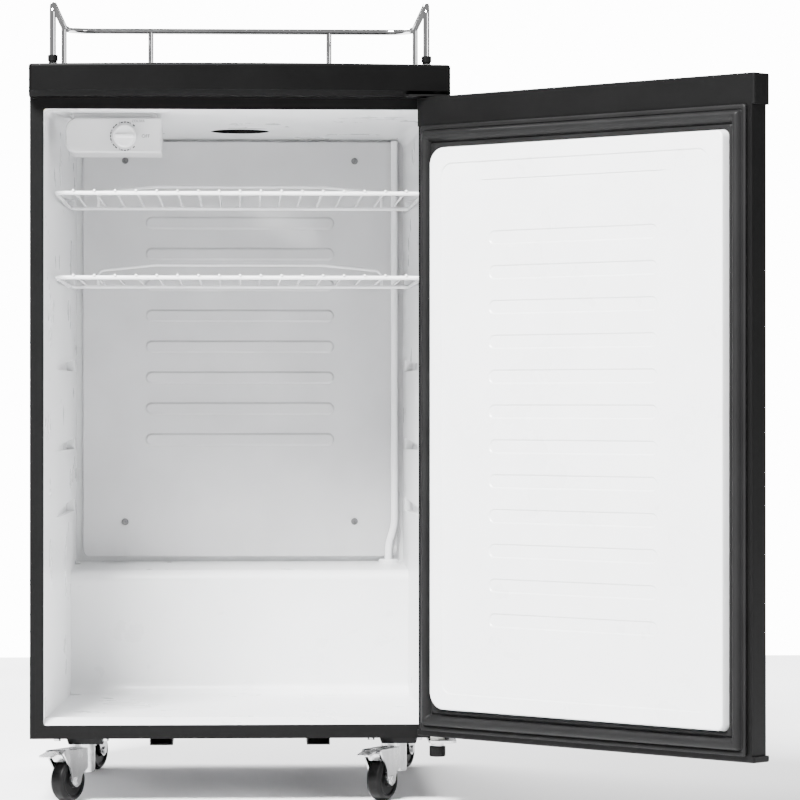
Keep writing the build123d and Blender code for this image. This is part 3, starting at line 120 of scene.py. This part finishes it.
def roughness_by(material, source, low, high):
    """The roughness runs from low to high with the source."""
    tree = material.node_tree
    spread = tree.nodes.new("ShaderNodeMapRange")
    spread.inputs["From Min"].default_value = NOISE_RANGE[0]
    spread.inputs["From Max"].default_value = NOISE_RANGE[1]
    spread.inputs["To Min"].default_value = low
    spread.inputs["To Max"].default_value = high
    tree.links.new(source, spread.inputs["Value"])
    tree.links.new(spread.outputs["Result"], tree.nodes["Principled BSDF"].inputs["Roughness"])


def bump_by(material, layers):
    """Bumps the surface with one or more sources, each with its height in metres."""
    tree = material.node_tree
    previous = None
    for source, height in layers:
        bump = tree.nodes.new("ShaderNodeBump")
        bump.inputs["Distance"].default_value = height
        tree.links.new(source, bump.inputs["Height"])
        if previous:
            tree.links.new(previous, bump.inputs["Normal"])
        previous = bump.outputs["Normal"]
    tree.links.new(previous, tree.nodes["Principled BSDF"].inputs["Normal"])


def coated(name, dark, light, roughness, peel, wave=0.0, peel_scale=900, mottle_scale=14, **sockets):
    """Paint, plastic or rubber: mottled colour and gloss, a fine grain and perhaps a slow wave."""
    material = new_material(name, **sockets)
    mottle = add_noise(material, mottle_scale, 5)
    colour_by(material, mottle, dark, light)
    roughness_by(material, mottle, *roughness)
    layers = [(add_noise(material, peel_scale, 2), peel)]
    if wave:
        layers.insert(0, (add_noise(material, WAVE_SCALE, 1), wave))
    bump_by(material, layers)
    return material


def grey(level):
    return (level, level, level * 1.01)


def galvanised_steel():
    """Zinc-coated sheet with its crystals."""
    material = new_material("galvanised", Metallic=0.85)
    cells = add_cells(material, CRYSTAL_SCALE)
    colour_by(material, cells, grey(0.34), grey(0.56), 0.1, 0.9)
    roughness_by(material, cells, 0.34, 0.5)
    bump_by(material, [(add_noise(material, ZINC_GRAIN_SCALE, 3), 0.00004)])
    return material


def plated_metal(name, dark, light, roughness, grain, scale=70):
    """Plated or drawn metal with fine handling marks along its height."""
    material = new_material(name, Metallic=1.0)
    marks = add_noise(material, scale, 6, (1, 1, 0.35))
    colour_by(material, marks, dark, light)
    roughness_by(material, marks, *roughness)
    bump_by(material, [(add_noise(material, METAL_GRAIN_SCALE, 2), grain)])
    return material


DULL = {"Specular_IOR_Level": 0.09}         # blacks that mirror little of the studio's light
finishes = {
    "cabinet_paint": coated("cabinet_paint", grey(0.0020), grey(0.0024), (0.44, 0.48), 0.00004, **DULL),
    "base_black": coated("base_black", grey(0.004), grey(0.007), (0.30, 0.42), 0.00004, **DULL),
    "galvanised": galvanised_steel(),
    "zinc_plate": plated_metal("zinc_plate", grey(0.46), grey(0.62), (0.18, 0.32), 0.00001),
    # screw_steel: the screw heads are darkened to stand in for the shade in the recesses round them: painted shade
    "screw_steel": plated_metal("screw_steel", grey(0.10), grey(0.2), (0.3, 0.45), 0.00001, scale=400),
    "rail_chrome": plated_metal("rail_chrome", grey(0.72), grey(0.78), (0.04, 0.08), 0.000002),
    "liner_white": coated(
        "liner_white", (0.70, 0.705, 0.71), (0.73, 0.735, 0.74), (0.26, 0.34), 0.000012, wave=0.00006,
    ),
    # evaporator_white: the plate's own off-white, darkened to mid grey to stand in for the shade over the upper
    # back wall: partly painted shade
    "evaporator_white": coated(
        "evaporator_white", grey(0.46), grey(0.50), (0.36, 0.44), 0.00002, wave=0.00008,
    ),
    "housing_white": coated("housing_white", grey(0.40), grey(0.43), (0.42, 0.5), 0.00003, peel_scale=1600),
    "knob_white": coated("knob_white", grey(0.62), grey(0.66), (0.3, 0.38), 0.00002),
    "sleeve_white": coated("sleeve_white", grey(0.78), grey(0.82), (0.42, 0.52), 0.00005, wave=0.0002),
    "shelf_wire": coated("shelf_wire", grey(0.70), grey(0.74), (0.16, 0.24), 0.00003, peel_scale=500),
    "worktop_black": coated(
        "worktop_black", grey(0.0009), grey(0.0011), (0.42, 0.46), 0.00005, peel_scale=1500,
        Specular_IOR_Level=0.06,
    ),
    "trim_black": coated(
        "trim_black", grey(0.0024), grey(0.0029), (0.44, 0.48), 0.00004, peel_scale=1500, **DULL,
    ),
    "bush_nylon": coated("bush_nylon", (0.6, 0.6, 0.55), (0.68, 0.68, 0.63), (0.4, 0.5), 0.00004),
    "gasket_rubber": coated("gasket_rubber", grey(0.0058), grey(0.0075), (0.42, 0.52), 0.00002, **DULL),
    "grommet_rubber": coated("grommet_rubber", grey(0.008), grey(0.014), (0.6, 0.75), 0.00008),
    "wheel_rubber": coated(
        "wheel_rubber", grey(0.003), grey(0.006), (0.28, 0.4), 0.00004, mottle_scale=40, **DULL,
    ),
    "copper": plated_metal("copper", (0.62, 0.27, 0.15), (0.8, 0.42, 0.28), (0.22, 0.4), 0.00002),
    "foam": coated("foam", (0.72, 0.62, 0.38), (0.82, 0.74, 0.5), (0.8, 0.95), 0.0004, peel_scale=700),
}
for part in frame["record"]["subparts"]:
    mesh = frame["nodes"][part["node"]].data
    mesh.materials.clear()
    mesh.materials.append(finishes[part["material_slot"]])


def new_piece(name, points, faces, body, slot, material=None, smooth=True):
    """A mesh piece that rides on a body and takes its finish from a slot."""
    mesh = bpy.data.meshes.new(name)
    mesh.from_pydata(points, [], faces)
    mesh.validate()
    mesh.update()
    for face in mesh.polygons:
        face.use_smooth = smooth
    mesh.materials.append(material or finishes[slot])
    piece = bpy.data.objects.new(name, mesh)
    bpy.context.scene.collection.objects.link(piece)
    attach(piece, body)
    return piece


# ---- Door frame: where a point of the closed door lies while the door rests open ----
DOOR_OPEN = radians(134.2)
hinge = Vector(joints["door_hinge"]["pos_m"])
hinge.z = 0
door_turn = Matrix.Translation(hinge) @ Matrix.Rotation(DOOR_OPEN, 4, "Z") @ Matrix.Translation(-hinge)


def rounded_rectangle(free_x, hinge_x, z0, z1, hinge_radius, free_radius, corner_steps):
    """Points round a rectangle with rounded corners, as (x, z), from the upper corner by the hinge."""
    corners = [
        (hinge_x - hinge_radius, z1 - hinge_radius, 0, hinge_radius),
        (-free_x + free_radius, z1 - free_radius, 90, free_radius),
        (-free_x + free_radius, z0 + free_radius, 180, free_radius),
        (hinge_x - hinge_radius, z0 + hinge_radius, 270, hinge_radius),
    ]
    points = []
    for x, z, start, radius in corners:
        for step in range(corner_steps + 1):
            angle = radians(start + 90 * step / corner_steps)
            points.append((x + radius * cos(angle), z + radius * sin(angle)))
    return points


# ---- Gasket: base strip, magnetic bulge, groove and inner lip, with square welded mitres ----
# each outline: its free side, its hinge side, low Z, high Z, radius at the hinge, radius at the free side
GASKET_OUTER = (0.246, 0.246, 0.0907, 0.8135, 0.003, 0.003)
PAN_EDGE = (0.2235, 0.2235, 0.1164, 0.7874, 0.0225, 0.0095)
MITRE_EDGE = (0.2235, 0.2235, 0.1164, 0.7874, 0.0012, 0.0012)
ROUND_FROM = 0.82            # from here inwards the strip follows the pan's round corners
# across the gasket from its outer edge (0) to the pan (1), and the depth there with the door closed
GASKET_PROFILE = [
    (0.00, -0.0120), (0.00, -0.0086), (0.012, -0.0080), (0.10, -0.0076), (0.20, -0.0077), (0.215, -0.0085),
    (0.235, -0.0085), (0.25, -0.0066), (0.28, -0.0042), (0.33, -0.0022), (0.40, -0.0012), (0.48, -0.0008),
    (0.56, -0.0014), (0.64, -0.0029), (0.71, -0.0050), (0.755, -0.0072), (0.775, -0.0088), (0.80, -0.0090),
    (0.82, -0.0078), (0.86, -0.0070), (0.92, -0.0068), (0.98, -0.0074), (1.00, -0.0084), (1.00, -0.0120),
]
GASKET_CORNER_STEPS = 10


def make_gasket():
    outer = rounded_rectangle(*GASKET_OUTER, GASKET_CORNER_STEPS)
    mitred = rounded_rectangle(*MITRE_EDGE, GASKET_CORNER_STEPS)
    inner = rounded_rectangle(*PAN_EDGE, GASKET_CORNER_STEPS)
    rows = len(GASKET_PROFILE)
    points = []
    for (xo, zo), (xm, zm), (xi, zi) in zip(outer, mitred, inner):
        for across, depth in GASKET_PROFILE:
            x, z = xo + (xm - xo) * across, zo + (zm - zo) * across
            if across > ROUND_FROM:
                part = (across - ROUND_FROM) / (1 - ROUND_FROM)
                x, z = x + (xi - xm) * part, z + (zi - zm) * part
            points.append(door_turn @ Vector((x, depth, z)))
    faces = []
    around = len(outer)
    for i in range(around):
        for j in range(rows):
            following = (i + 1) % around
            beside = (j + 1) % rows
            faces.append((i * rows + j, i * rows + beside, following * rows + beside, following * rows + j))
    return new_piece("gasket", points, faces, "door", "gasket_rubber")


gasket = make_gasket()
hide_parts("door_gasket")


# ---- Dial: dashes round the knob, numbers and OFF printed on the housing ----
knob_low, knob_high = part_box("thermostat_knob")
dial_x = (knob_low.x + knob_high.x) / 2
dial_z = (knob_low.z + knob_high.z) / 2
PRINT_T = 0.00006
face_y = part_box("control_housing")[0].y
ink = coated("dial_ink", grey(0.004), grey(0.008), (0.5, 0.6), 0.00001, mottle_scale=300)
DASH_R = 0.0172
DASH_SIZE = (0.0030, 0.0015)
DASH_STEP = 13
DASH_GAP = 50                  # degrees each side of OFF with no dash
NUMBERS = {"1": -67, "2": -112, "3": -157, "4": 157, "5": 112, "6": 67}
NUMBER_R = 0.0172
NUMBER_SIZE = 0.0042
OFF_X = 0.0255
OFF_SIZE = 0.0058
WORD_PLACE = (0.0165, 0.0183)
WORD_SIZE = 0.0040
NUMBER_ROOM = 8


def text_mesh(text, size, x, z):
    """Vertices and faces of a short text that stands in the housing's face."""
    curve = bpy.data.curves.new("letter", "FONT")
    curve.body = text
    curve.size = size
    curve.align_x = "CENTER"
    curve.align_y = "CENTER"
    curve.extrude = PRINT_T / 2
    letter = bpy.data.objects.new("letter", curve)
    mesh = bpy.data.meshes.new_from_object(letter)
    place = Matrix.Translation((x, face_y - PRINT_T / 2, z)) @ Matrix.Rotation(pi / 2, 4, "X")
    points = [place @ vertex.co for vertex in mesh.vertices]
    faces = [tuple(face.vertices) for face in mesh.polygons]
    bpy.data.objects.remove(letter)
    bpy.data.meshes.remove(mesh)
    return points, faces


def dash_mesh(angle):
    """One printed dash of the ring, as a thin plate turned with it."""
    length, width = DASH_SIZE
    points = []
    for y in (face_y - PRINT_T, face_y):
        for u, v in ((-1, -1), (1, -1), (1, 1), (-1, 1)):
            out = DASH_R + v * width / 2
            side = u * length / 2
            x = dial_x + out * cos(angle) - side * sin(angle)
            z = dial_z + out * sin(angle) + side * cos(angle)
            points.append(Vector((x, y, z)))
    faces = [(0, 1, 2, 3), (7, 6, 5, 4), (0, 4, 5, 1), (1, 5, 6, 2), (2, 6, 7, 3), (3, 7, 4, 0)]
    return points, faces


def make_dial_marks():
    angles = range(DASH_GAP, 360 - DASH_GAP + 1, DASH_STEP)
    numbered = [degrees % 360 for degrees in NUMBERS.values()]
    parts = [dash_mesh(radians(a)) for a in angles if min(abs(a - n) for n in numbered) > NUMBER_ROOM]
    for number, degrees in NUMBERS.items():
        a = radians(degrees)
        parts.append(text_mesh(number, NUMBER_SIZE, dial_x + NUMBER_R * cos(a), dial_z + NUMBER_R * sin(a)))
    parts.append(text_mesh("OFF", OFF_SIZE, dial_x + OFF_X, dial_z))
    parts.append(text_mesh("COLDER", WORD_SIZE, dial_x + WORD_PLACE[0], dial_z + WORD_PLACE[1]))
    points, faces = [], []
    for part_points, part_faces in parts:
        start = len(points)
        points += part_points
        faces += [tuple(start + i for i in face) for face in part_faces]
    return new_piece("dial_marks", points, faces, "cabinet", "housing_white", ink, smooth=False)


make_dial_marks()


# ---- Floor and light ----
FLOOR_SIDE = 9.0
FLOOR_NEAR = -9.0
FLOOR_FAR = 2.6               # it ends where it is still bright, so it meets the pale background softly
# each softbox: name, place, what it points at, width and height, watts
SOFTBOXES = [
    ("key", (-1.4, -2.8, 3.8), (0.1, 0.2, 0.3), (1.6, 1.1), 1450),
    ("fill_right", (2.8, -3.0, 1.6), (0.3, 0, 0.5), (1.4, 2.0), 60),
    ("rim_back", (-0.5, 3.4, 3.2), (0, 1.9, 0), (4.0, 2.0), 650),
]
ROOM_LIGHT = 0.25             # what matt surfaces receive from the room
ROOM_GLOSS = 0.32             # what shiny surfaces see of it
ROOM_BACKDROP = 14.0          # what the camera sees behind the object: nearly white


def make_floor():
    mesh = bpy.data.meshes.new("floor")
    corners = [(-FLOOR_SIDE, FLOOR_NEAR, 0), (FLOOR_SIDE, FLOOR_NEAR, 0)]
    corners += [(FLOOR_SIDE, FLOOR_FAR, 0), (-FLOOR_SIDE, FLOOR_FAR, 0)]
    mesh.from_pydata(corners, [], [(0, 1, 2, 3)])
    mesh.materials.append(coated("floor_paint", grey(0.88), grey(0.91), (0.6, 0.7), 0.0, mottle_scale=2))
    floor = bpy.data.objects.new("floor", mesh)
    bpy.context.scene.collection.objects.link(floor)


def add_softbox(name, place, target, size, watts):
    light = bpy.data.lights.new(name, "AREA")
    light.shape = "RECTANGLE"
    light.size, light.size_y = size
    light.energy = watts
    lamp = bpy.data.objects.new(name, light)
    lamp.location = place
    aim = Vector(target) - Vector(place)
    lamp.rotation_euler = aim.to_track_quat("-Z", "Y").to_euler()
    bpy.context.scene.collection.objects.link(lamp)


def map_flag(tree, flag, if_false, if_true):
    """One value where the flag is 0 and the other where it is 1."""
    chosen = tree.nodes.new("ShaderNodeMapRange")
    chosen.inputs["To Min"].default_value = if_false
    chosen.inputs["To Max"].default_value = if_true
    tree.links.new(flag, chosen.inputs["Value"])
    return chosen.outputs["Result"]


def make_world():
    """A white room whose strength differs for light, for gloss and for the background of the picture."""
    world = bpy.data.worlds.new("world")
    world.use_nodes = True
    tree = world.node_tree
    rays = tree.nodes.new("ShaderNodeLightPath")
    strength = tree.nodes.new("ShaderNodeMath")
    strength.operation = "MAXIMUM"
    room = map_flag(tree, rays.outputs["Is Glossy Ray"], ROOM_LIGHT, ROOM_GLOSS)
    backdrop = map_flag(tree, rays.outputs["Is Camera Ray"], 0, ROOM_BACKDROP)
    tree.links.new(room, strength.inputs[0])
    tree.links.new(backdrop, strength.inputs[1])
    background = tree.nodes["Background"]
    background.inputs["Color"].default_value = (1, 1, 1, 1)
    tree.links.new(strength.outputs["Value"], background.inputs["Strength"])
    bpy.context.scene.world = world


make_floor()
for softbox in SOFTBOXES:
    add_softbox(*softbox)
make_world()
